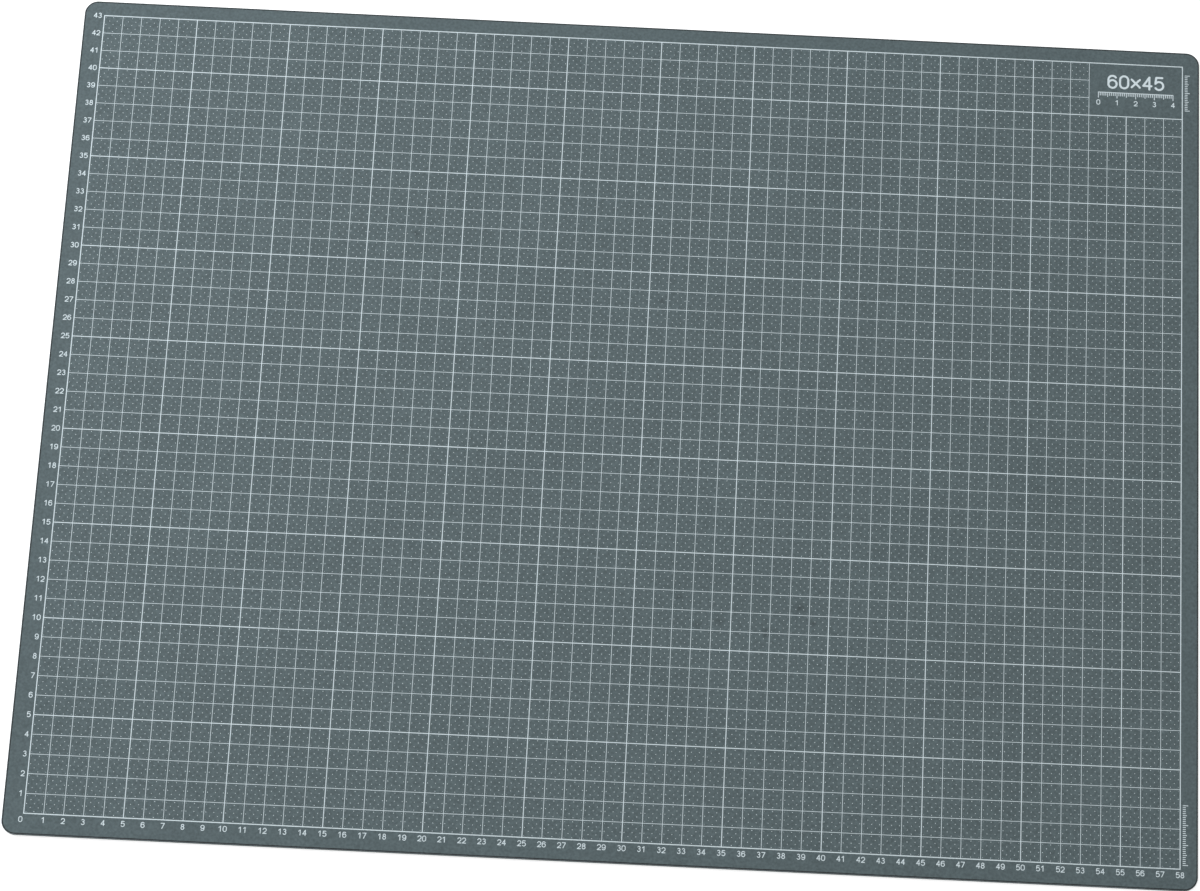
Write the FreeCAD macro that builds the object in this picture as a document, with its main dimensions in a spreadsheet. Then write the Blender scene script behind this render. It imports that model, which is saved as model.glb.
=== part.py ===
"""Self-healing cutting mat: five PVC plies pressed into one 3 mm sheet, printed with a centimetre scale.

Millimetres. The origin is the centre of the underside, +X runs along the long side, +Z points out of the
cutting surface. Every printed film is a thin solid that lies on the cutting surface.
"""
import FreeCAD, Part
import math
import os
from functools import partial

import Sketcher
from FreeCAD import Placement, Rotation, Vector

# Driving dimensions. A cell of the spreadsheet holds each one under the same alias.
DRIVING_SIZES = {
    "mat_length": 600.0,
    "mat_width": 449.0,
    "corner_radius": 7.2,
    "rim_radius": 0.5,
    "skin_thickness": 0.6,
    "healing_thickness": 0.7,
    "core_thickness": 0.4,
    "scale_step": 10.0,
    "left_margin": 10.9,
    "right_margin_least": 9.0,
    "bottom_margin": 10.8,
    "top_margin_least": 8.0,
    "border_width": 0.5,
    "heavy_line_width": 0.44,
    "fine_line_width": 0.26,
    "ink_thickness": 0.03,
    "panel_steps_long": 5,
    "panel_steps_high": 3,
    "numeral_height": 3.0,
    "numeral_drop": 3.0,
    "numeral_gap": 1.45,
    "zero_shift": 1.35,
    "title_height": 8.0,
    "title_rule_gap": 2.4,
    "rule_steps": 4,
    "rule_numeral_gap": 1.0,
    "tick_width": 0.4,
    "tick_length": 3.0,
    "strip_tick_length": 2.7,
    "strip_offset": 1.3,
    "lower_strip_start": 2.0,
    "upper_strip_start": 5.0,
    "lower_strip_steps": 3,
    "upper_strip_steps": 2,
}
HEAVY_EVERY = 5  # centimetres between heavy lines
TICKS_PER_STEP = 10  # millimetre ticks in a centimetre
HALF_TICK = 0.78  # of a centimetre's tick, at each half centimetre
SHORT_TICK = 0.56  # of a centimetre's tick, at each other millimetre
RIM_SHARE_MOST = 0.85  # of the skin's thickness, the most that the eased rim takes
GLYPH_WIDTH = 0.69  # of a numeral's height, outside to outside
GLYPH_ADVANCE = 0.78  # of a numeral's height, from one numeral to the next
GLYPH_STROKE = 0.14  # of a numeral's height

doc = FreeCAD.newDocument("cutting_mat")


def make_sheet():
    """The spreadsheet that drives every size, with the sizes that follow from the driving ones."""
    sheet = doc.addObject("Spreadsheet::Sheet", "sizes")
    follow = {
        "thickness": "=2 * skin_thickness + 2 * healing_thickness + core_thickness",
        "columns": "=floor((mat_length - left_margin - right_margin_least) / scale_step)",
        "rows": "=floor((mat_width - bottom_margin - top_margin_least) / scale_step)",
        "rule_length": "=rule_steps * scale_step",
        "scale_length": "=columns * scale_step",
        "scale_height": "=rows * scale_step",
        "scale_left": "=left_margin - mat_length / 2",
        "scale_bottom": "=bottom_margin - mat_width / 2",
    }
    for row, (alias, value) in enumerate([*DRIVING_SIZES.items(), *follow.items()], start=1):
        sheet.set(f"A{row}", alias)
        sheet.set(f"B{row}", str(value))
        sheet.setAlias(f"B{row}", alias)
    doc.recompute()
    return sheet


sheet = make_sheet()


def size(alias):
    """The value of one cell, in millimetres or as a count."""
    return float(sheet.get(alias))


def origin_plane(body, role):
    """The body's own origin plane with this role."""
    return next(f for f in body.Origin.OriginFeatures if f.Role == role)


def new_body(name):
    body = doc.addObject("PartDesign::Body", name)
    body.Label = name
    body.AllowCompound = True
    return body


def new_sketch(body, name):
    """An empty sketch on the body's XY plane."""
    sketch = body.newObject("Sketcher::SketchObject", name)
    sketch.AttachmentSupport = (origin_plane(body, "XY_Plane"), [""])
    sketch.MapMode = "FlatFace"
    return sketch


def add_rectangle(sketch, tag, left, bottom, length, height):
    """A rectangle whose lower left corner and sides are bound to four expressions."""
    values = [sheet_value(e) for e in (left, bottom, length, height)]
    x0, y0, x1, y1 = values[0], values[1], values[0] + values[2], values[1] + values[3]
    corners = [Vector(x0, y0, 0), Vector(x1, y0, 0), Vector(x1, y1, 0), Vector(x0, y1, 0)]
    first = sketch.GeometryCount
    for k in range(4):
        sketch.addGeometry(Part.LineSegment(corners[k], corners[(k + 1) % 4]), False)
    for k in range(4):
        sketch.addConstraint(Sketcher.Constraint("Coincident", first + k, 2, first + (k + 1) % 4, 1))
    for k, way in enumerate(("Horizontal", "Vertical", "Horizontal", "Vertical")):
        sketch.addConstraint(Sketcher.Constraint(way, first + k))
    sized = (
        ("left", Sketcher.Constraint("DistanceX", -1, 1, first, 1, x0), left),
        ("bottom", Sketcher.Constraint("DistanceY", -1, 1, first, 1, y0), bottom),
        ("length", Sketcher.Constraint("DistanceX", first, 1, first, 2, x1 - x0), length),
        ("height", Sketcher.Constraint("DistanceY", first + 1, 1, first + 1, 2, y1 - y0), height),
    )
    for word, constraint, expression in sized:
        index = sketch.addConstraint(constraint)
        sketch.renameConstraint(index, f"{tag}_{word}")
        sketch.setExpression(f"Constraints.{tag}_{word}", expression)


def sheet_value(expression):
    """What an expression over the spreadsheet's cells comes to."""
    return float(sheet.evalExpression(expression.replace("sizes.", "")))


def pad(body, sketch, name, length):
    feature = body.newObject("PartDesign::Pad", name)
    feature.Profile = sketch
    feature.setExpression("Length", length)
    doc.recompute()
    return feature


def make_ply(name, thickness, height, rim=None):
    """One ply: a sheet with rounded corners whose underside is at height. rim is "top" or "bottom" where
    the ply's outer edge is eased."""
    body = new_body(name)
    sketch = new_sketch(body, name + "_outline")
    long_half, wide_half, radius = size("mat_length") / 2, size("mat_width") / 2, size("corner_radius")
    centres = [
        (long_half - radius, wide_half - radius),
        (radius - long_half, wide_half - radius),
        (radius - long_half, radius - wide_half),
        (long_half - radius, radius - wide_half),
    ]
    for k, (x, y) in enumerate(centres):
        circle = Part.Circle(Vector(x, y, 0), Vector(0, 0, 1), radius)
        sketch.addGeometry(Part.ArcOfCircle(circle, k * math.pi / 2, (k + 1) * math.pi / 2), False)
    for k in range(4):
        start = sketch.getPoint(k, 2)
        end = sketch.getPoint((k + 1) % 4, 1)
        sketch.addGeometry(Part.LineSegment(start, end), False)
    for k in range(4):
        sketch.addConstraint(Sketcher.Constraint("Tangent", k, 2, 4 + k, 1))
        sketch.addConstraint(Sketcher.Constraint("Tangent", 4 + k, 2, (k + 1) % 4, 1))
    for k in range(1, 4):
        sketch.addConstraint(Sketcher.Constraint("Equal", 0, k))
    sketch.addConstraint(Sketcher.Constraint("Horizontal", 4))
    sketch.addConstraint(Sketcher.Constraint("Vertical", 5))
    sketch.addConstraint(Sketcher.Constraint("Symmetric", 0, 3, 2, 3, -1, 1))
    sized = (
        ("corner", Sketcher.Constraint("Radius", 0, radius), "sizes.corner_radius"),
        (
            "between_long",
            Sketcher.Constraint("DistanceX", 1, 3, 0, 3, 2 * (long_half - radius)),
            "sizes.mat_length - 2 * sizes.corner_radius",
        ),
        (
            "between_wide",
            Sketcher.Constraint("DistanceY", 2, 3, 1, 3, 2 * (wide_half - radius)),
            "sizes.mat_width - 2 * sizes.corner_radius",
        ),
    )
    for word, constraint, expression in sized:
        index = sketch.addConstraint(constraint)
        sketch.renameConstraint(index, word)
        sketch.setExpression(f"Constraints.{word}", expression)
    padded = pad(body, sketch, name + "_pad", thickness)
    if rim:
        level = sheet_value(thickness) if rim == "top" else 0.0
        edges = [
            f"Edge{n}"
            for n, edge in enumerate(padded.Shape.Edges, start=1)
            if all(abs(v.Z - level) < 1e-6 for v in edge.Vertexes)
        ]
        eased = body.newObject("PartDesign::Fillet", name + "_rim")
        eased.Base = (padded, edges)
        eased.setExpression("Radius", f"min(sizes.rim_radius; {RIM_SHARE_MOST} * sizes.skin_thickness)")
        body.Tip = eased
    body.setExpression("Placement.Base.z", height)
    return body


def make_plies():
    """The five plies, from the underside up."""
    skin, healing, core = "sizes.skin_thickness", "sizes.healing_thickness", "sizes.core_thickness"
    return [
        make_ply("bottom_skin", skin, "0", rim="bottom"),
        make_ply("lower_healing_layer", healing, skin),
        make_ply("rigid_core", core, f"{skin} + {healing}"),
        make_ply("upper_healing_layer", healing, f"{skin} + {healing} + {core}"),
        make_ply("top_skin", skin, f"{skin} + 2 * {healing} + {core}", rim="top"),
    ]


def make_border():
    """The frame round the scale, centred on the scale's outer lines."""
    body = new_body("scale_border")
    sketch = new_sketch(body, "scale_border_outline")
    half = "sizes.border_width / 2"
    for tag, sign, other in (("outer", "-", "+"), ("inner", "+", "-")):
        add_rectangle(
            sketch,
            tag,
            f"sizes.scale_left {sign} {half}",
            f"sizes.scale_bottom {sign} {half}",
            f"sizes.scale_length {other} 2 * {half}",
            f"sizes.scale_height {other} 2 * {half}",
        )
    pad(body, sketch, "scale_border_pad", "sizes.ink_thickness")
    body.setExpression("Placement.Base.z", "sizes.thickness")
    return body


def add_line_family(body, tag, along, count):
    """Heavy lines side by side: one padded bar and a linear pattern of it. along is "x" for lines that
    stand across the long side."""
    sketch = new_sketch(body, f"{tag}_outline")
    inside = "sizes.border_width / 2"
    centre = f"{HEAVY_EVERY} * sizes.scale_step - sizes.heavy_line_width / 2"
    if along == "x":
        place = (f"sizes.scale_left + {centre}", f"sizes.scale_bottom + {inside}")
        sides = ("sizes.heavy_line_width", f"sizes.scale_height - 2 * {inside}")
    else:
        place = (f"sizes.scale_left + {inside}", f"sizes.scale_bottom + {centre}")
        sides = (f"sizes.scale_length - 2 * {inside}", "sizes.heavy_line_width")
    add_rectangle(sketch, tag, *place, *sides)
    bar = pad(body, sketch, f"{tag}_pad", "sizes.ink_thickness")
    pattern = body.newObject("PartDesign::LinearPattern", f"{tag}_pattern")
    pattern.Originals = [bar]
    pattern.Direction = (origin_plane(body, "X_Axis" if along == "x" else "Y_Axis"), [""])
    pattern.Occurrences = count
    pattern.setExpression("Length", f"{count - 1} * {HEAVY_EVERY} * sizes.scale_step")
    body.Tip = pattern
    doc.recompute()


def make_heavy_lines():
    """Every fifth centimetre line, inside the border, with the title panel left clear."""
    body = new_body("five_centimetre_lines")
    upright_count = math.ceil(size("columns") / HEAVY_EVERY) - 1
    level_count = math.ceil(size("rows") / HEAVY_EVERY) - 1
    add_line_family(body, "upright", "x", upright_count)
    add_line_family(body, "level", "y", level_count)
    sketch = new_sketch(body, "panel_outline")
    long_side = "sizes.panel_steps_long * sizes.scale_step"
    high_side = "sizes.panel_steps_high * sizes.scale_step"
    clear = "sizes.heavy_line_width / 2"
    add_rectangle(
        sketch,
        "panel",
        f"sizes.scale_left + sizes.scale_length - {long_side} + {clear}",
        f"sizes.scale_bottom + sizes.scale_height - {high_side} + {clear}",
        long_side,
        high_side,
    )
    pocket = body.newObject("PartDesign::Pocket", "panel_pocket")
    pocket.Profile = sketch
    pocket.Reversed = True
    pocket.setExpression("Length", "2 * sizes.ink_thickness")
    body.Tip = pocket
    body.setExpression("Placement.Base.z", "sizes.thickness")
    return body


def ink_box(left, bottom, right, top):
    """A rectangle of ink between two corners, standing on z = 0."""
    return Part.makeBox(right - left, top - bottom, size("ink_thickness"), Vector(left, bottom, 0))


def joined(solids):
    """One shape from solids that touch or overlap."""
    if len(solids) == 1:
        return solids[0]
    return solids[0].fuse(solids[1:]).removeSplitter()


def as_film(name, solids, height):
    """A printed film: its solids in one object, lifted onto the cutting surface."""
    film = doc.addObject("Part::Feature", name)
    film.Label = name
    film.Shape = Part.makeCompound(solids)
    film.Placement = Placement(Vector(0, 0, height), Rotation())
    return film


def block_lattice(xs, ys, edges):
    """The fine lines of one block between heavy lines, in one shape. xs and ys are their places, and edges
    the block's left, bottom, right and top, where the lines end."""
    half = size("fine_line_width") / 2
    left, bottom, right, top = edges
    bars = [ink_box(x - half, bottom, x + half, top) for x in xs]
    bars += [ink_box(left, y - half, right, y + half) for y in ys]
    return joined(bars)


def panel_clearing():
    """The box of the title panel, inside the fine lines that bound it."""
    step, clear = size("scale_step"), size("fine_line_width") / 2
    right = size("scale_left") + size("scale_length")
    top = size("scale_bottom") + size("scale_height")
    left = right - size("panel_steps_long") * step + clear
    bottom = top - size("panel_steps_high") * step + clear
    return ink_box(left, bottom, right, top)


def make_fine_lines():
    """The centimetre lines, block by block between the heavy lines and the border, with the panel clear."""
    step, columns, rows = size("scale_step"), int(size("columns")), int(size("rows"))
    left, bottom = size("scale_left"), size("scale_bottom")
    panel = panel_clearing()

    def clearance(index, last):
        width = "border_width" if index in (0, last) else "heavy_line_width"
        return size(width) / 2

    solids = []
    for column in range(0, columns, HEAVY_EVERY):
        for row in range(0, rows, HEAVY_EVERY):
            column_end, row_end = min(column + HEAVY_EVERY, columns), min(row + HEAVY_EVERY, rows)
            xs = [left + c * step for c in range(column + 1, column_end)]
            ys = [bottom + r * step for r in range(row + 1, row_end)]
            if not xs and not ys:
                continue
            edges = (
                left + column * step + clearance(column, columns),
                bottom + row * step + clearance(row, rows),
                left + column_end * step - clearance(column_end, columns),
                bottom + row_end * step - clearance(row_end, rows),
            )
            lattice = block_lattice(xs, ys, edges)
            if lattice.BoundBox.intersect(panel.BoundBox):
                lattice = lattice.cut(panel)
            solids += lattice.Solids
    return as_film("centimetre_lines", solids, size("thickness"))


def straight_stroke(stroke, start, end):
    """A straight pen stroke with round ends."""
    ink = size("ink_thickness")
    a, b = Vector(*start, 0), Vector(*end, 0)
    run = b - a
    bar = Part.makeBox(run.Length, stroke, ink, Vector(0, -stroke / 2, 0))
    bar.Placement = Placement(a, Rotation(Vector(1, 0, 0), run)) * Placement(bar.Placement)
    return [bar] + [Part.makeCylinder(stroke / 2, ink, p) for p in (a, b)]


def round_stroke(stroke, centre, radius, start, end):
    """A pen stroke along a circle, anticlockwise from start to end in degrees, with round ends."""
    ink = size("ink_thickness")
    middle = Vector(*centre, 0)
    turn = end - start
    ring = Part.makeCylinder(radius + stroke / 2, ink, middle, Vector(0, 0, 1), turn)
    ring = ring.cut(Part.makeCylinder(radius - stroke / 2, ink, middle))
    ring.rotate(middle, Vector(0, 0, 1), start)
    if turn >= 360:
        return [ring]
    ends = [middle + radius * Vector(math.cos(a), math.sin(a), 0) for a in map(math.radians, (start, end))]
    return [ring] + [Part.makeCylinder(stroke / 2, ink, p) for p in ends]


def half_turned(solid, x, y):
    """A copy of the solid turned half round about a point."""
    copy = solid.copy()
    copy.rotate(Vector(x, y, 0), Vector(0, 0, 1), 180)
    return copy


def draw_glyphs(height):
    """The ten numerals and a multiplication sign, one solid each. Each stands with its outline's lower left
    corner at the origin. The pen runs through a box of width wide and height tall."""
    stroke = GLYPH_STROKE * height
    wide = GLYPH_WIDTH * height - stroke
    tall = height - stroke
    line = partial(straight_stroke, stroke)
    arc = partial(round_stroke, stroke)
    bow = wide / 2
    lower, upper = 0.28 * tall, 0.23 * tall
    upper_middle = tall - upper
    stem, flag, shoulder = 0.62 * wide, 0.15 * wide, 0.76 * tall
    post, bar = 0.74 * wide, 0.28 * tall
    cap_left, cap_right = 0.16 * wide, 0.9 * wide
    belly, belly_start = 0.33 * tall, (0.06 * wide, 0.5 * tall)
    foot = 0.3 * wide
    low = 0.12 * tall
    slope = math.radians(-35)
    slope_start = (bow + bow * math.cos(slope), tall - bow + bow * math.sin(slope))
    six = arc((bow, bow), bow, 0, 360)
    six += line((0, bow), (0, tall - bow))
    six += arc((bow, tall - bow), bow, 35, 180)
    glyphs = {
        "0": arc((bow, bow), bow, 180, 360)
        + arc((bow, tall - bow), bow, 0, 180)
        + line((0, bow), (0, tall - bow))
        + line((wide, bow), (wide, tall - bow)),
        "1": line((stem, 0), (stem, tall)) + line((stem, tall), (flag, shoulder)),
        "2": arc((bow, tall - bow), bow, -35, 165) + line(slope_start, (0, 0)) + line((0, 0), (wide, 0)),
        "3": arc((bow, lower), lower, -150, 90) + arc((bow, upper_middle), upper, -90, 150),
        "4": line((post, 0), (post, tall)) + line((post, tall), (0, bar)) + line((0, bar), (wide, bar)),
        "5": line((cap_right, tall), (cap_left, tall))
        + line((cap_left, tall), belly_start)
        + arc((bow, belly), belly, -145, 145),
        "6": six,
        "7": line((0, tall), (wide, tall)) + line((wide, tall), (foot, 0)),
        "8": arc((bow, lower), lower, 0, 360) + arc((bow, upper_middle), upper, 0, 360),
        "9": [half_turned(solid, bow, tall / 2) for solid in six],
        "x": line((0, low), (wide, low + wide)) + line((0, low + wide), (wide, low)),
    }
    corner = Vector(stroke / 2, stroke / 2, 0)
    return {sign: joined(strokes).translated(corner) for sign, strokes in glyphs.items()}


def text_width(text, height):
    return (GLYPH_WIDTH + (len(text) - 1) * GLYPH_ADVANCE) * height


def print_text(glyphs, height, text, left, bottom):
    """The solids of a short text, with its lower left corner at a point."""
    solids = []
    for place, sign in enumerate(text):
        solid = glyphs[sign].copy()
        solid.translate(Vector(left + place * GLYPH_ADVANCE * height, bottom, 0))
        solids += solid.Solids
    return solids


small_glyphs = draw_glyphs(size("numeral_height"))


def print_number(value, x, bottom, ranged=0.5):
    """A number in small numerals. x is its middle, or its right end where ranged is 1."""
    height = size("numeral_height")
    left = x - ranged * text_width(str(value), height)
    return print_text(small_glyphs, height, str(value), left, bottom)


def make_bottom_numerals():
    """Numbers under the upright lines, with the zero moved towards the corner."""
    row = size("scale_bottom") - size("numeral_drop") - size("numeral_height") / 2
    solids = print_number(0, size("scale_left") - size("zero_shift"), row)
    for value in range(1, int(size("columns")) + 1):
        solids += print_number(value, size("scale_left") + value * size("scale_step"), row)
    return as_film("bottom_numerals", solids, size("thickness"))


def make_left_numerals():
    """Numbers beside the level lines, ranged right against the border."""
    edge = size("scale_left") - size("numeral_gap")
    solids = []
    for value in range(1, int(size("rows")) + 1):
        y = size("scale_bottom") + value * size("scale_step") - size("numeral_height") / 2
        solids += print_number(value, edge, y, ranged=1)
    return as_film("left_numerals", solids, size("thickness"))


def tick_share(index):
    """The length of a millimetre's tick, as a share of a centimetre's."""
    if index % TICKS_PER_STEP == 0:
        return 1.0
    if index % (TICKS_PER_STEP // 2) == 0:
        return HALF_TICK
    return SHORT_TICK


def tick_places(steps):
    """Index and place of each tick along a rule of so many scale steps."""
    pitch = size("scale_step") / TICKS_PER_STEP
    return [(index, index * pitch) for index in range(int(steps) * TICKS_PER_STEP + 1)]


def panel_layout():
    """Left end of the panel's short rule, height of its long edge, and foot of the panel's print."""
    middle_x = size("scale_left") + size("scale_length") - size("panel_steps_long") * size("scale_step") / 2
    middle_y = size("scale_bottom") + size("scale_height") - size("panel_steps_high") * size("scale_step") / 2
    under_title = size("numeral_height") + size("rule_numeral_gap") + size("tick_length")
    stack = under_title + size("title_rule_gap") + size("title_height")
    bottom = middle_y - stack / 2
    return middle_x - size("rule_length") / 2, bottom + under_title, bottom


def make_panel_rule():
    """A short rule of millimetre ticks in the title panel."""
    rule_left, rule_top, _ = panel_layout()
    rule_right = rule_left + size("rule_length")
    half, long_tick = size("tick_width") / 2, size("tick_length")
    rule = [ink_box(rule_left - half, rule_top, rule_right + half, rule_top + 2 * half)]
    for index, along in tick_places(size("rule_steps")):
        x = rule_left + along
        rule.append(ink_box(x - half, rule_top - long_tick * tick_share(index), x + half, rule_top))
    return as_film("panel_rule", joined(rule).Solids, size("thickness"))


def nearest_five(value):
    return 5 * round(value / 5)


def make_panel_numerals():
    """The sheet's size to five centimetres over the panel's rule, and the rule's own numbers under it."""
    rule_left, rule_top, bottom = panel_layout()
    title = size("title_height")
    solids = []
    for value in range(int(size("rule_steps")) + 1):
        solids += print_number(value, rule_left + value * size("scale_step"), bottom)
    text = f"{nearest_five(size('mat_length') / 10)}x{nearest_five(size('mat_width') / 10)}"
    left = rule_left + size("rule_length") / 2 - text_width(text, title) / 2
    solids += print_text(draw_glyphs(title), title, text, left, rule_top + size("title_rule_gap"))
    return as_film("panel_numerals", solids, size("thickness"))


def make_margin_strips():
    """Two strips of millimetre ticks in the right margin, from the scale's lower and upper corners."""
    half = size("tick_width") / 2
    left = size("scale_left") + size("scale_length") + size("strip_offset")
    bottom = size("scale_bottom") + size("lower_strip_start")
    top = size("scale_bottom") + size("scale_height") - size("upper_strip_start")
    solids = []
    strips = ((bottom, 1, size("lower_strip_steps")), (top, -1, size("upper_strip_steps")))
    for start, way, steps in strips:
        for index, along in tick_places(steps):
            y = start + way * along
            right = left + size("strip_tick_length") * tick_share(index)
            solids.append(ink_box(left, y - half, right, y + half))
    return as_film("margin_strips", solids, size("thickness"))


def check(parts):
    """Stops the build if an object failed or a sub-part has no valid shape."""
    for thing in doc.Objects:
        if {"Invalid", "Error"} & set(thing.State):
            raise RuntimeError(f"{thing.Name} did not compute: {thing.State}")
    for thing in parts:
        if thing.Shape.isNull() or not thing.Shape.isValid() or not thing.Shape.Solids:
            raise RuntimeError(f"{thing.Label} has no valid solid")


def export(parts):
    os.makedirs("parts", exist_ok=True)
    for thing in parts:
        thing.Shape.exportStep(f"parts/{thing.Label}.step")
        box = thing.Shape.BoundBox
        print(
            f"{thing.Label}: {len(thing.Shape.Solids)} solids, {thing.Shape.Volume:.2f} mm3, "
            f"{box.XLength:.2f} x {box.YLength:.2f} x {box.ZLength:.3f} mm from z {box.ZMin:.3f}"
        )


subparts = make_plies() + [
    make_border(),
    make_heavy_lines(),
    make_fine_lines(),
    make_bottom_numerals(),
    make_left_numerals(),
    make_panel_rule(),
    make_panel_numerals(),
    make_margin_strips(),
]
doc.recompute()
check(subparts)
export(subparts)
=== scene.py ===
"""Looks of the self-healing cutting mat: the plies with their eased and cut edges, the printed films, the
millimetre dots, and a plain pale floor under soft light. Metres throughout, in the CAD frame."""

import math

import bpy
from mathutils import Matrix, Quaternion, Vector
from mathutils.geometry import delaunay_2d_cdt


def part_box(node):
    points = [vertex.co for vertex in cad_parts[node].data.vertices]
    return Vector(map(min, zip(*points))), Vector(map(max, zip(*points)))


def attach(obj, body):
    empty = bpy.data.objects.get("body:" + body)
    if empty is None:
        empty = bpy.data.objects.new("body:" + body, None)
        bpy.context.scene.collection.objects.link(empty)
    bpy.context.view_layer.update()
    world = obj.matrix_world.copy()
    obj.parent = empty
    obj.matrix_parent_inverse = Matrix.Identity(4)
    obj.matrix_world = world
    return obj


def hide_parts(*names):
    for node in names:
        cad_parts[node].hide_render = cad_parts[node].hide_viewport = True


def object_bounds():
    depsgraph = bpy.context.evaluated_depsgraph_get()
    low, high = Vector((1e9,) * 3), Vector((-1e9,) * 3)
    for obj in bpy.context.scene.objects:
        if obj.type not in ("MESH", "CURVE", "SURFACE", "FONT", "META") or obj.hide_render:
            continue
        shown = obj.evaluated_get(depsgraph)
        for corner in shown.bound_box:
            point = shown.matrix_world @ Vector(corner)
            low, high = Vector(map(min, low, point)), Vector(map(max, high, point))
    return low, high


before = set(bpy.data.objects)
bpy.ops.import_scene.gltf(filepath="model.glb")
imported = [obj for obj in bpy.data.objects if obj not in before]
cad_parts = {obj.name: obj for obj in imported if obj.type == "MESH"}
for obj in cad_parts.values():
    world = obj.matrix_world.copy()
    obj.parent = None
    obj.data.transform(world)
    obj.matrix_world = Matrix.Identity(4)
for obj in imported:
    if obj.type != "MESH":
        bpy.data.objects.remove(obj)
cad_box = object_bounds()

MM = 0.001

# Sizes that the print and the sheet share with the CAD model.
CORNER_RADIUS = 7.2 * MM
RIM_RADIUS = 0.5 * MM
STEP = 10.0 * MM  # one centimetre of the scale
BORDER_WIDTH = 0.5 * MM
NUMERAL_HEIGHT = 3.0 * MM
NUMERAL_GAP = 1.45 * MM  # from the border to the left numbers
ZERO_SHIFT = 1.35 * MM  # of the 0, to the left of the scale's corner
TITLE_HEIGHT = 8.0 * MM
RULE_LENGTH = 40.0 * MM
PANEL_COLUMNS = 5
PANEL_ROWS = 3
GLYPH_WIDTH = 0.69  # of a numeral's height, outside to outside
GLYPH_ADVANCE = 0.78  # of a numeral's height, from one numeral to the next
GLYPH_STROKE = 0.14  # of a numeral's height

# Sizes that only the visual model has.
CORNER_FACETS = 20
RIM_FACETS = 5
RIM_BAND = 0.85 * MM  # band of painted shade round the top face, from the sheet's edge
FLAT_NORMAL = 0.999  # a facet whose normal rises more than this is flat
PAINTED_SHADE_RINGS = 2  # bands of facets in the rim of painted shade: the flat band and the one next to it
DOT_DIAMETER = 0.44 * MM
CORNER_DOT_DIAMETER = 0.26 * MM  # of the dots nearest a crossing, which print thinner
DOT_HEIGHT = 0.03 * MM
DOT_SIDES = 6
MARK_DEPTH = 0.38  # darkening at the middle of a rub mark
MARK_WARP = 5.0 * MM  # span of the noise that shifts a rub mark's edge

# Sizes of the features in the surfaces.
BLOTCH_SIZE = 45 * MM
SPECKLE_SIZE = 1.3 * MM
GLOSS_PATCH_SIZE = 6 * MM
MARK_NOISE_SIZE = 3 * MM
INK_PATCH_SIZE = 18 * MM
INK_MOTTLE_SIZE = 0.5 * MM
INK_GRAIN_SIZE = 0.3 * MM
INK_RELIEF = 0.01 * MM

# Small dark rub marks left by use: place in centimetres on the scale, then width in millimetres.
RUB_MARKS = (
    (32.3, 12.7, 5),
    (33.3, 11.3, 6),
    (34.4, 11.5, 7),
    (36.8, 11.0, 6),
    (38.5, 12.4, 8),
    (39.2, 11.6, 5),
    (17.6, 31.5, 5),
    (30.7, 28.4, 4),
)

# Colours, linear.
SKIN_COLOUR = (0.095, 0.1275, 0.1345)
UNDERSIDE_COLOUR = (0.082, 0.11, 0.118)
# Painted shade: a dark line round the edge of the top face, on its flat band and the rim's top facets.
RIM_PAINTED_SHADE_COLOUR = (0.028, 0.032, 0.033)
# The cut edges of the skins and inner plies are painted lighter than the skin's face: painted light that
# lifts the shade on the mat's sides.
SKIN_EDGE_PAINTED_LIGHT_COLOUR = (0.17, 0.2, 0.21)
HEALING_PAINTED_LIGHT_COLOUR = (0.205, 0.24, 0.25)
CORE_PAINTED_LIGHT_COLOUR = (0.15, 0.17, 0.175)
INK_COLOUR = (0.7, 0.797, 0.832)
CUT_EDGE = {"grain": 0.2 * MM, "roughness": 0.8, "specular": 0.1}  # how the edge's vinyl differs

FLOOR_COLOUR = (0.8, 0.8, 0.8)
FLOOR_REACH = 6.0
FLOOR_GAP = 0.05 * MM  # under the sheet, so that the two faces stay apart
FLOOR_LIFT = 0.64  # light that the floor shows to the camera beyond what falls on it

WORLD_LIGHT = 0.5  # of white, from all round
# Lamps: place, target, width and power, then colour.
KEY_LAMP = ((-0.9, 0.58, 1.3), (-0.07, 0, 0), 1.15, 17.4, (0.965, 1.0, 1.045))
FILL_LAMP = ((1.6, -0.2, 1.5), (0.15, 0, 0), 1.6, 1.5, (1.15, 1.0, 0.85))

# Camera: focal length and film width in millimetres, sideways shift, place, direction and roll.
CAMERA_LENS = 89.26
CAMERA_FILM = 36.0
CAMERA_SHIFT = -0.051
CAMERA_PLACE = (0.0244, -0.3986, 1.4953)
CAMERA_FACING = (-0.00216, 0.253493, -0.967335)
CAMERA_ROLL = 2.2876  # degrees
CAMERA_REACH = 50.0

# Where the scale lies on the sheet.
border_low, border_high = (Vector(corner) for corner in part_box("scale_border"))
scale_left = border_low.x + BORDER_WIDTH / 2
scale_bottom = border_low.y + BORDER_WIDTH / 2
columns = round((border_high.x - border_low.x - BORDER_WIDTH) / STEP)
rows = round((border_high.y - border_low.y - BORDER_WIDTH) / STEP)
ink_low, ink_high = border_low.z, border_high.z


# ---------------------------------------------------------------- materials


def new_material(name):
    """A material with its node tree, its Principled shader and a function that adds nodes to it."""
    material = bpy.data.materials.new(name)
    material.use_nodes = True
    nodes = material.node_tree.nodes
    shader = next(n for n in nodes if n.type == "BSDF_PRINCIPLED")
    return material, material.node_tree, shader


def add(tree, kind, **settings):
    """A new node. A setting in capitals sets the input socket of that name."""
    node = tree.nodes.new(kind)
    for key, value in settings.items():
        if key[0].isupper():
            node.inputs[key.replace("_", " ")].default_value = value
        else:
            setattr(node, key, value)
    return node


def noise(tree, place, size, detail=2.0, roughness=0.5):
    """Noise whose features are about size metres across."""
    node = add(tree, "ShaderNodeTexNoise", Scale=1 / size, Detail=detail, Roughness=roughness)
    tree.links.new(place, node.inputs["Vector"])
    return node.outputs["Fac"]


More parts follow.
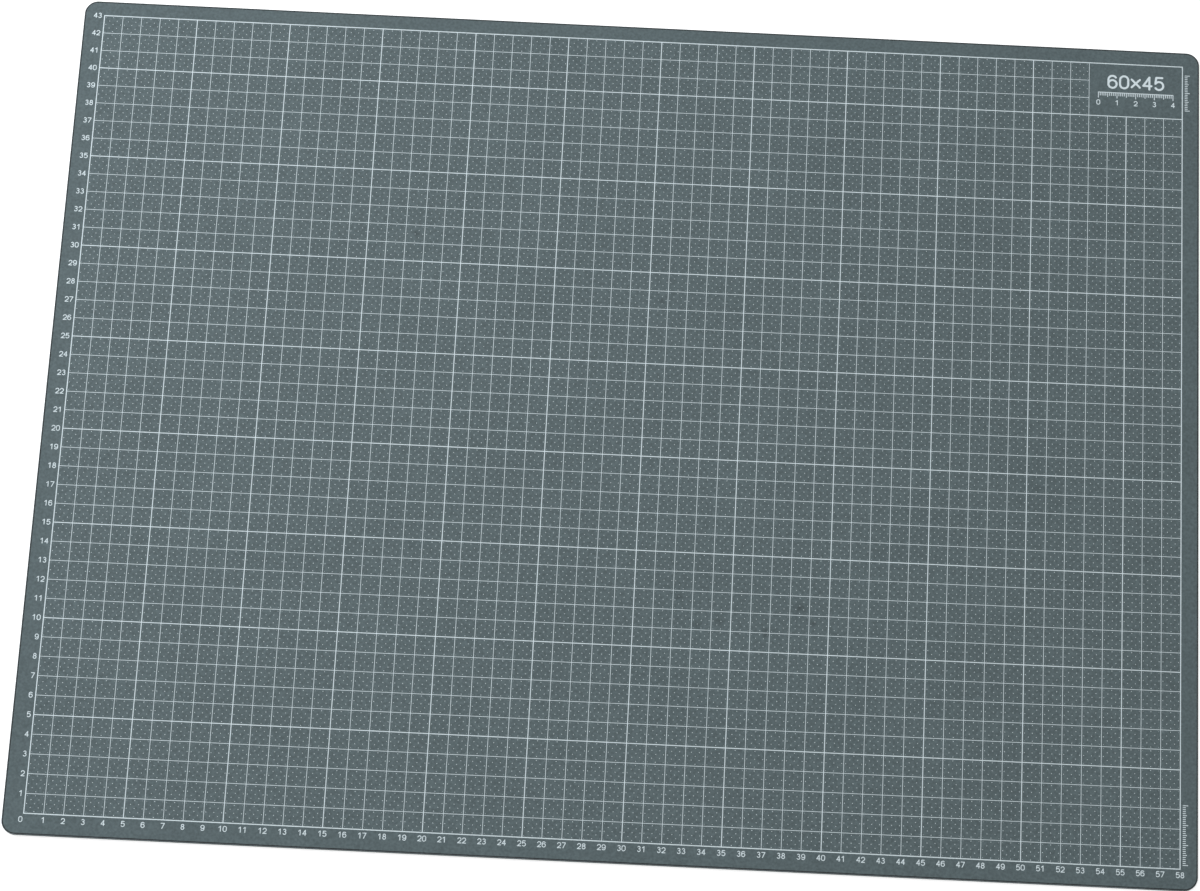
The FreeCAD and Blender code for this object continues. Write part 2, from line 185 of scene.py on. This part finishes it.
def spread(tree, value, low, high, start=0.3, end=0.7):
    """A value between start and end, moved to between low and high."""
    node = add(tree, "ShaderNodeMapRange", From_Min=start, From_Max=end, To_Min=low, To_Max=high)
    tree.links.new(value, node.inputs["Value"])
    return node.outputs["Result"]


def times(tree, a, b):
    """The product of two values."""
    node = add(tree, "ShaderNodeMath", operation="MULTIPLY")
    tree.links.new(a, node.inputs[0])
    tree.links.new(b, node.inputs[1])
    return node.outputs["Value"]


def tinted(tree, colour, factor):
    """The colour times a factor that varies over the surface."""
    node = add(tree, "ShaderNodeVectorMath", operation="SCALE")
    node.inputs[0].default_value = colour
    tree.links.new(factor, node.inputs["Scale"])
    return node.outputs["Vector"]


def rubbed(tree, place, factor):
    """The factor, lowered inside each rub mark. Noise makes the marks uneven."""
    flaw = add(tree, "ShaderNodeTexNoise", Scale=1 / MARK_NOISE_SIZE, Detail=3.0)
    tree.links.new(place, flaw.inputs["Vector"])
    centred = add(tree, "ShaderNodeVectorMath", operation="SUBTRACT")
    centred.inputs[1].default_value = (0.5, 0.5, 0.5)
    tree.links.new(flaw.outputs["Color"], centred.inputs[0])
    offset = add(tree, "ShaderNodeVectorMath", operation="SCALE", Scale=MARK_WARP)
    tree.links.new(centred.outputs["Vector"], offset.inputs[0])
    warped = add(tree, "ShaderNodeVectorMath", operation="ADD")
    tree.links.new(place, warped.inputs[0])
    tree.links.new(offset.outputs["Vector"], warped.inputs[1])
    for across, up, width in RUB_MARKS:
        away = add(tree, "ShaderNodeVectorMath", operation="DISTANCE")
        away.inputs[1].default_value = (scale_left + across * STEP, scale_bottom + up * STEP, cad_box[1][2])
        tree.links.new(warped.outputs["Vector"], away.inputs[0])
        near = spread(tree, away.outputs["Value"], 1 - MARK_DEPTH, 1, 0, width / 2 * MM)
        factor = times(tree, factor, near)
    return factor


def vinyl(
    name,
    colour,
    blotch=0.04,
    speckle=0.19,
    grain=0.35 * MM,
    relief=0.02 * MM,
    roughness=0.6,
    specular=0.2,
    worn=False,
):
    """Matte PVC: slow blotches and fine speckle in its colour, and a fine moulded grain. A worn sheet has
    rub marks."""
    material, tree, shader = new_material(name)
    place = add(tree, "ShaderNodeTexCoord").outputs["Object"]
    slow = spread(tree, noise(tree, place, BLOTCH_SIZE, detail=3.0), 1 - blotch, 1 + blotch)
    quick = spread(tree, noise(tree, place, SPECKLE_SIZE, detail=3.0), 1 - speckle, 1 + speckle)
    shade = times(tree, slow, quick)
    if worn:
        shade = rubbed(tree, place, shade)
    tree.links.new(tinted(tree, colour, shade), shader.inputs["Base Color"])
    rough = spread(tree, noise(tree, place, GLOSS_PATCH_SIZE, detail=4.0), roughness - 0.05, roughness + 0.06)
    tree.links.new(rough, shader.inputs["Roughness"])
    shader.inputs["Specular IOR Level"].default_value = specular
    bump = add(tree, "ShaderNodeBump", Strength=0.6, Distance=relief)
    tree.links.new(noise(tree, place, grain, detail=3.0, roughness=0.6), bump.inputs["Height"])
    tree.links.new(bump.outputs["Normal"], shader.inputs["Normal"])
    return material


def printed_ink(name, colour):
    """Screen-printed ink: a little thinner in places, and dull."""
    material, tree, shader = new_material(name)
    place = add(tree, "ShaderNodeTexCoord").outputs["Object"]
    patchy = spread(tree, noise(tree, place, INK_PATCH_SIZE, detail=2.0), 0.93, 1.03)
    mottled = spread(tree, noise(tree, place, INK_MOTTLE_SIZE, detail=2.0), 0.9, 1.05)
    tree.links.new(tinted(tree, colour, times(tree, patchy, mottled)), shader.inputs["Base Color"])
    tree.links.new(spread(tree, mottled, 0.5, 0.62, 0.9, 1.05), shader.inputs["Roughness"])
    shader.inputs["Specular IOR Level"].default_value = 0.3
    bump = add(tree, "ShaderNodeBump", Strength=0.4, Distance=INK_RELIEF)
    tree.links.new(noise(tree, place, INK_GRAIN_SIZE, detail=2.0), bump.inputs["Height"])
    tree.links.new(bump.outputs["Normal"], shader.inputs["Normal"])
    return material


def by_seeing_rays(tree, unseen, seen):
    """One value for the rays that see a thing, from the camera or off or through the object, and another
    for the rays that carry its light."""
    rays = add(tree, "ShaderNodeLightPath")
    either = add(tree, "ShaderNodeMath", operation="MAXIMUM")
    tree.links.new(rays.outputs["Is Camera Ray"], either.inputs[0])
    tree.links.new(rays.outputs["Is Glossy Ray"], either.inputs[1])
    any_of_three = add(tree, "ShaderNodeMath", operation="MAXIMUM")
    tree.links.new(either.outputs["Value"], any_of_three.inputs[0])
    tree.links.new(rays.outputs["Is Transmission Ray"], any_of_three.inputs[1])
    return spread(tree, any_of_three.outputs["Value"], unseen, seen, 0, 1)


def floor_paint():
    """Matt white, and a little brighter where it is seen, so that it is white where it is lit."""
    material, tree, shader = new_material("floor_white")
    shader.inputs["Base Color"].default_value = (*FLOOR_COLOUR, 1)
    shader.inputs["Roughness"].default_value = 0.9
    shader.inputs["Specular IOR Level"].default_value = 0.0
    shader.inputs["Emission Color"].default_value = (1, 1, 1, 1)
    tree.links.new(by_seeing_rays(tree, 0, FLOOR_LIFT), shader.inputs["Emission Strength"])
    return material


skin_material = vinyl("skin_vinyl_grained", SKIN_COLOUR, worn=True)
underside_material = vinyl(
    "skin_vinyl_underside", UNDERSIDE_COLOUR, speckle=0.09, grain=0.9 * MM, relief=0.035 * MM, roughness=0.68
)
# The dark rim is painted shade along the top face's edge, given the grain of the cut edge.
rim_painted_shade_material = vinyl("skin_vinyl_painted_shade_rim", RIM_PAINTED_SHADE_COLOUR, **CUT_EDGE)
# Cut edges in their lightened colours: painted light against the shade on the sides.
skin_edge_painted_light_material = vinyl("skin_vinyl_cut_painted_light", SKIN_EDGE_PAINTED_LIGHT_COLOUR, **CUT_EDGE)
healing_painted_light_material = vinyl("healing_vinyl_cut_painted_light", HEALING_PAINTED_LIGHT_COLOUR, **CUT_EDGE)
core_painted_light_material = vinyl("core_vinyl_cut_painted_light", CORE_PAINTED_LIGHT_COLOUR, **CUT_EDGE)
ink_material = printed_ink("pale_ink_printed", INK_COLOUR)


# ---------------------------------------------------------------- pieces


def new_piece(name, vertices, faces, materials, node=None):
    """A mesh piece that rides on the sheet and stands for a CAD node where one is named."""
    mesh = bpy.data.meshes.new(name)
    mesh.from_pydata(vertices, [], faces)
    mesh.validate()
    for material in materials:
        mesh.materials.append(material)
    piece = bpy.data.objects.new(name, mesh)
    bpy.context.scene.collection.objects.link(piece)
    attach(piece, "root")
    if node:
        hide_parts(node)
    return piece


def outline(low, high, inset):
    """Points round a rectangle with rounded corners, anticlockwise, moved in from the edge by inset."""
    radius = CORNER_RADIUS - inset
    points = []
    corners = [(high.x, high.y, 0), (low.x, high.y, 90), (low.x, low.y, 180), (high.x, low.y, 270)]
    for x, y, start in corners:
        centre_x = x - math.copysign(CORNER_RADIUS, x)
        centre_y = y - math.copysign(CORNER_RADIUS, y)
        for k in range(CORNER_FACETS + 1):
            turn = math.radians(start + 90 * k / CORNER_FACETS)
            points.append((centre_x + radius * math.cos(turn), centre_y + radius * math.sin(turn)))
    return points


def ply_rings(low, high, eased):
    """Inset and height of each ring of points up a ply's edge, with the rim eased at "top" or "bottom". The
    top rim ends with a flat band."""
    quarter = [math.radians(90 * k / RIM_FACETS) for k in range(RIM_FACETS + 1)]
    ease = [(RIM_RADIUS * (1 - math.cos(a)), RIM_RADIUS * (1 - math.sin(a))) for a in quarter]
    if eased == "top":
        return [(0, low.z)] + [(inset, high.z - drop) for inset, drop in ease] + [(RIM_BAND, high.z)]
    if eased == "bottom":
        return [(inset, low.z + drop) for inset, drop in reversed(ease)] + [(0, high.z)]
    return [(0, low.z), (0, high.z)]


def make_ply(name, node, materials, eased=None, shade_rings=0):
    """One ply. materials are those of its faces, its edge and, where the ply has one, its dark rim of painted
    shade, which the last bands of facets up the edge have, as many as the last argument gives."""
    low, high = (Vector(corner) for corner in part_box(node))
    rings = ply_rings(low, high, eased)
    vertices = [(x, y, z) for inset, z in rings for x, y in outline(low, high, inset)]
    around = len(vertices) // len(rings)
    faces = [list(reversed(range(around))), list(range(len(vertices) - around, len(vertices)))]
    for ring in range(len(rings) - 1):
        for k in range(around):
            a, b = ring * around + k, ring * around + (k + 1) % around
            faces.append([a, b, b + around, a + around])
    piece = new_piece(name, vertices, faces, materials, node)
    # The last bands of facets carry the rim's painted shade.
    shade_start = len(faces) - shade_rings * around
    for index, polygon in enumerate(piece.data.polygons[2:], start=2):
        polygon.material_index = 2 if index >= shade_start else 1
        polygon.use_smooth = polygon.normal.z < FLAT_NORMAL


bottom_materials = [underside_material, skin_edge_painted_light_material]
top_materials = [skin_material, skin_edge_painted_light_material, rim_painted_shade_material]
make_ply("mat_bottom_skin", "bottom_skin", bottom_materials, "bottom")
make_ply("mat_lower_healing", "lower_healing_layer", [healing_painted_light_material] * 2)
make_ply("mat_core", "rigid_core", [core_painted_light_material] * 2)
make_ply("mat_upper_healing", "upper_healing_layer", [healing_painted_light_material] * 2)
make_ply("mat_top_skin", "top_skin", top_materials, "top", PAINTED_SHADE_RINGS)


# ---------------------------------------------------------------- straight print


def dress(node, material):
    """Gives a CAD node that stays its finished material."""
    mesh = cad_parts[node].data
    mesh.materials.clear()
    mesh.materials.append(material)


STRAIGHT_PRINT = ("scale_border", "five_centimetre_lines", "centimetre_lines", "panel_rule", "margin_strips")
for straight in STRAIGHT_PRINT:
    dress(straight, ink_material)


# ---------------------------------------------------------------- numerals


def stroke_outline(path, width):
    """The outline of a pen stroke of this width along a path of points, with round ends."""
    half = width / 2
    points = [Vector(p) for p in path]
    left, right = [], []
    for k, point in enumerate(points):
        before = points[max(k - 1, 0)]
        after = points[min(k + 1, len(points) - 1)]
        along = (after - before).normalized()
        across = Vector((-along.y, along.x)) * half
        left.append(point + across)
        right.append(point - across)
    far_end = round_end(points[-2], points[-1], half)
    near_end = round_end(points[1], points[0], half)
    return right + far_end + left[::-1] + near_end


def round_end(before, end, radius, facets=6):
    """Points round the end of a stroke, from its right side to its left."""
    heading = math.atan2(end.y - before.y, end.x - before.x)
    turns = [heading - math.pi / 2 + math.pi * k / facets for k in range(1, facets)]
    return [end + radius * Vector((math.cos(t), math.sin(t))) for t in turns]


def arc(centre, radius, start, end, squash=1.0):
    """Points along a circle from start to end degrees, its height times squash."""
    count = max(3, round(abs(end - start) / 12))
    points = []
    for k in range(count + 1):
        turn = math.radians(start + (end - start) * k / count)
        points.append((centre[0] + radius * math.cos(turn), centre[1] + squash * radius * math.sin(turn)))
    return points


def glyph_paths(height):
    """Pen paths of the ten numerals and a multiplication sign."""
    stroke = GLYPH_STROKE * height
    wide = GLYPH_WIDTH * height - stroke
    tall = height - stroke
    bow = wide / 2
    lower, upper = 0.28 * tall, 0.23 * tall
    upper_middle = tall - upper
    stem, shoulder = 0.62 * wide, 0.76 * tall
    post, bar = 0.74 * wide, 0.28 * tall
    low = 0.12 * tall
    belly = 0.33 * tall
    flag, neck, waist = 0.9 * wide, 0.16 * wide, (0.06 * wide, 0.5 * tall)
    serif, heel = 0.15 * wide, 0.3 * wide
    six = [
        arc((bow, bow), bow, 0, 200),
        arc((bow, bow), bow, 180, 380),
        arc((bow, tall - bow), bow, 35, 180) + [(0, bow)],
    ]
    return {
        "0": [
            [(wide, bow)] + arc((bow, tall - bow), bow, 0, 180) + [(0, bow)],
            [(0, tall - bow)] + arc((bow, bow), bow, 180, 360) + [(wide, tall - bow)],
        ],
        "1": [[(stem, 0), (stem, tall)], [(stem, tall), (serif, shoulder)]],
        "2": [arc((bow, tall - bow), bow, 165, -35) + [(0, 0)], [(0, 0), (wide, 0)]],
        "3": [arc((bow, lower), lower, -150, 90), arc((bow, upper_middle), upper, -90, 150)],
        "4": [[(post, 0), (post, tall)], [(post, tall), (0, bar)], [(0, bar), (wide, bar)]],
        "5": [
            [(flag, tall), (neck, tall)],
            [(neck, tall), waist],
            arc((bow, belly), belly, -145, 145),
        ],
        "6": six,
        "7": [[(0, tall), (wide, tall)], [(wide, tall), (heel, 0)]],
        "8": [
            arc((bow, lower), lower, 0, 200),
            arc((bow, lower), lower, 180, 380),
            arc((bow, upper_middle), upper, 0, 200),
            arc((bow, upper_middle), upper, 180, 380),
        ],
        "9": [[(wide - x, tall - y) for x, y in path] for path in six],
        "x": [[(0, low), (wide, low + wide)], [(0, low + wide), (wide, low)]],
    }


def draw_glyph(paths, height):
    """One sign as a flat mesh of points and faces, where its strokes are joined into one shape."""
    stroke = GLYPH_STROKE * height
    corners, rings = [], []
    for path in paths:
        ring = [point + Vector((stroke / 2, stroke / 2)) for point in stroke_outline(path, stroke)]
        rings.append(list(range(len(corners), len(corners) + len(ring))))
        corners += [point / MM for point in ring]
    points, _, faces, _, _, inside = delaunay_2d_cdt(corners, [], rings, 0, 1e-5)
    faces = [list(face) for face, owners in zip(faces, inside) if owners]
    return [point * MM for point in points], faces


def boundary(faces):
    """The edges that only one face has, each in that face's direction."""
    edges = {(face[k - 1], face[k]) for face in faces for k in range(len(face))}
    return [(a, b) for a, b in edges if (b, a) not in edges]


class Film:
    """Collects flat shapes into one printed film between two heights."""

    def __init__(self, bottom, top):
        self.bottom, self.top = bottom, top
        self.vertices, self.faces = [], []

    def stamp(self, shape, left, low):
        """Adds a flat shape, with its origin at a point, as a closed solid."""
        points, faces = shape
        first, count = len(self.vertices), len(points)
        self.vertices += [(p.x + left, p.y + low, self.top) for p in points]
        self.vertices += [(p.x + left, p.y + low, self.bottom) for p in points]
        self.faces += [[first + k for k in face] for face in faces]
        self.faces += [[first + count + k for k in reversed(face)] for face in faces]
        for a, b in boundary(faces):
            self.faces.append([first + b, first + a, first + count + a, first + count + b])

    def write(self, glyphs, height, text, left, low):
        for place, sign in enumerate(text):
            self.stamp(glyphs[sign], left + place * GLYPH_ADVANCE * height, low)

    def piece(self, name, node=None):
        return new_piece(name, self.vertices, self.faces, [ink_material], node)


def draw_glyphs(height):
    return {sign: draw_glyph(paths, height) for sign, paths in glyph_paths(height).items()}


def text_width(text, height):
    return (GLYPH_WIDTH + (len(text) - 1) * GLYPH_ADVANCE) * height


small_glyphs = draw_glyphs(NUMERAL_HEIGHT)


def write_number(film, value, x, low, ranged=0.5):
    """A number in small numerals. x is its middle, or its right end where ranged is 1."""
    text = str(value)
    film.write(small_glyphs, NUMERAL_HEIGHT, text, x - ranged * text_width(text, NUMERAL_HEIGHT), low)


def make_bottom_numerals():
    """The numbers under the scale, each centred on its line but 0, which stands left of the corner."""
    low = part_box("bottom_numerals")[0][1]
    film = Film(ink_low, ink_high)
    write_number(film, 0, scale_left - ZERO_SHIFT, low)
    for value in range(1, columns + 1):
        write_number(film, value, scale_left + value * STEP, low)
    film.piece("print_bottom_numerals", "bottom_numerals")


def make_left_numerals():
    """The numbers left of the scale, each ending at the same distance from it."""
    film = Film(ink_low, ink_high)
    for value in range(1, rows + 1):
        low = scale_bottom + value * STEP - NUMERAL_HEIGHT / 2
        write_number(film, value, scale_left - NUMERAL_GAP, low, ranged=1)
    film.piece("print_left_numerals", "left_numerals")


def make_panel_numerals():
    """The sheet's nominal size over the panel's rule, and the rule's own numbers under it."""
    low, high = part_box("panel_numerals")
    rule_low, rule_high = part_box("panel_rule")
    middle = (rule_low[0] + rule_high[0]) / 2
    film = Film(ink_low, ink_high)
    for value in range(round(RULE_LENGTH / STEP) + 1):
        write_number(film, value, middle - RULE_LENGTH / 2 + value * STEP, low[1])
    title = "60x45"
    title_left = middle - text_width(title, TITLE_HEIGHT) / 2
    film.write(draw_glyphs(TITLE_HEIGHT), TITLE_HEIGHT, title, title_left, high[1] - TITLE_HEIGHT)
    film.piece("print_panel_numerals", "panel_numerals")


make_bottom_numerals()
make_left_numerals()
make_panel_numerals()


# ---------------------------------------------------------------- millimetre dots


def cell_dots():
    """Place and diameter of each dot in one square centimetre. The dots are at every second crossing of the
    odd millimetres."""
    odd = range(1, 10, 2)
    dots = []
    for y in odd:
        for x in odd:
            in_corner = x in (1, 9) and y in (1, 9)
            if (x + y) % 4 == 2:
                dots.append((x * MM, y * MM, CORNER_DOT_DIAMETER if in_corner else DOT_DIAMETER))
    return dots


def in_panel(column, row):
    return column >= columns - PANEL_COLUMNS and row >= rows - PANEL_ROWS


def make_dots(name, first_column, last_column):
    """Dots of ink in the cells of some columns, each a low closed cone with a flat base."""
    turns = [2 * math.pi * k / DOT_SIDES for k in range(DOT_SIDES)]
    circle = [(math.cos(t), math.sin(t)) for t in turns]
    vertices, faces = [], []
    for column in range(first_column, last_column):
        for row in range(rows):
            if in_panel(column, row):
                continue
            for across, up, diameter in cell_dots():
                x = scale_left + column * STEP + across
                y = scale_bottom + row * STEP + up
                first = len(vertices)
                vertices += [(x + diameter / 2 * cx, y + diameter / 2 * cy, ink_low) for cx, cy in circle]
                vertices.append((x, y, ink_low + DOT_HEIGHT))
                faces.append([first + k for k in reversed(range(DOT_SIDES))])
                for k in range(DOT_SIDES):
                    faces.append([first + k, first + (k + 1) % DOT_SIDES, first + DOT_SIDES])
    new_piece(name, vertices, faces, [ink_material])


make_dots("print_dots_left", 0, columns // 2)
make_dots("print_dots_right", columns // 2, columns)


# ---------------------------------------------------------------- stage, light and camera


def make_floor():
    """A plain floor that the sheet lies on."""
    mesh = bpy.data.meshes.new("floor")
    sides = [(-1, -1), (1, -1), (1, 1), (-1, 1)]
    corners = [(x * FLOOR_REACH, y * FLOOR_REACH, -FLOOR_GAP) for x, y in sides]
    mesh.from_pydata(corners, [], [[0, 1, 2, 3]])
    mesh.materials.append(floor_paint())
    floor = bpy.data.objects.new("floor", mesh)
    bpy.context.scene.collection.objects.link(floor)


def aim(thing, target):
    thing.rotation_euler = (Vector(target) - thing.location).to_track_quat("-Z", "Y").to_euler()


def make_lamp(name, place, target, width, power, colour):
    data = bpy.data.lights.new(name, "AREA")
    data.shape = "SQUARE"
    data.size = width
    data.energy = power
    data.color = colour
    lamp = bpy.data.objects.new(name, data)
    lamp.location = place
    bpy.context.scene.collection.objects.link(lamp)
    aim(lamp, target)


def make_world():
    """Even white light all round. What is seen of it is white."""
    world = bpy.data.worlds.new("studio")
    world.use_nodes = True
    background = world.node_tree.nodes["Background"]
    background.inputs["Color"].default_value = (1, 1, 1, 1)
    strength = by_seeing_rays(world.node_tree, WORLD_LIGHT, 1)
    world.node_tree.links.new(strength, background.inputs["Strength"])
    bpy.context.scene.world = world


def make_camera():
    data = bpy.data.cameras.new("camera")
    data.lens = CAMERA_LENS
    data.sensor_width = CAMERA_FILM
    data.shift_x = CAMERA_SHIFT
    data.clip_end = CAMERA_REACH
    camera = bpy.data.objects.new("camera", data)
    camera.location = CAMERA_PLACE
    facing = Vector(CAMERA_FACING).to_track_quat("-Z", "Y")
    roll = Quaternion((0, 0, 1), math.radians(CAMERA_ROLL))
    camera.rotation_euler = (facing @ roll).to_euler()
    bpy.context.scene.collection.objects.link(camera)
    bpy.context.scene.camera = camera


make_floor()
make_world()
make_lamp("key", *KEY_LAMP)
make_lamp("fill", *FILL_LAMP)
make_camera()

bpy.context.scene.view_settings.view_transform = "Standard"
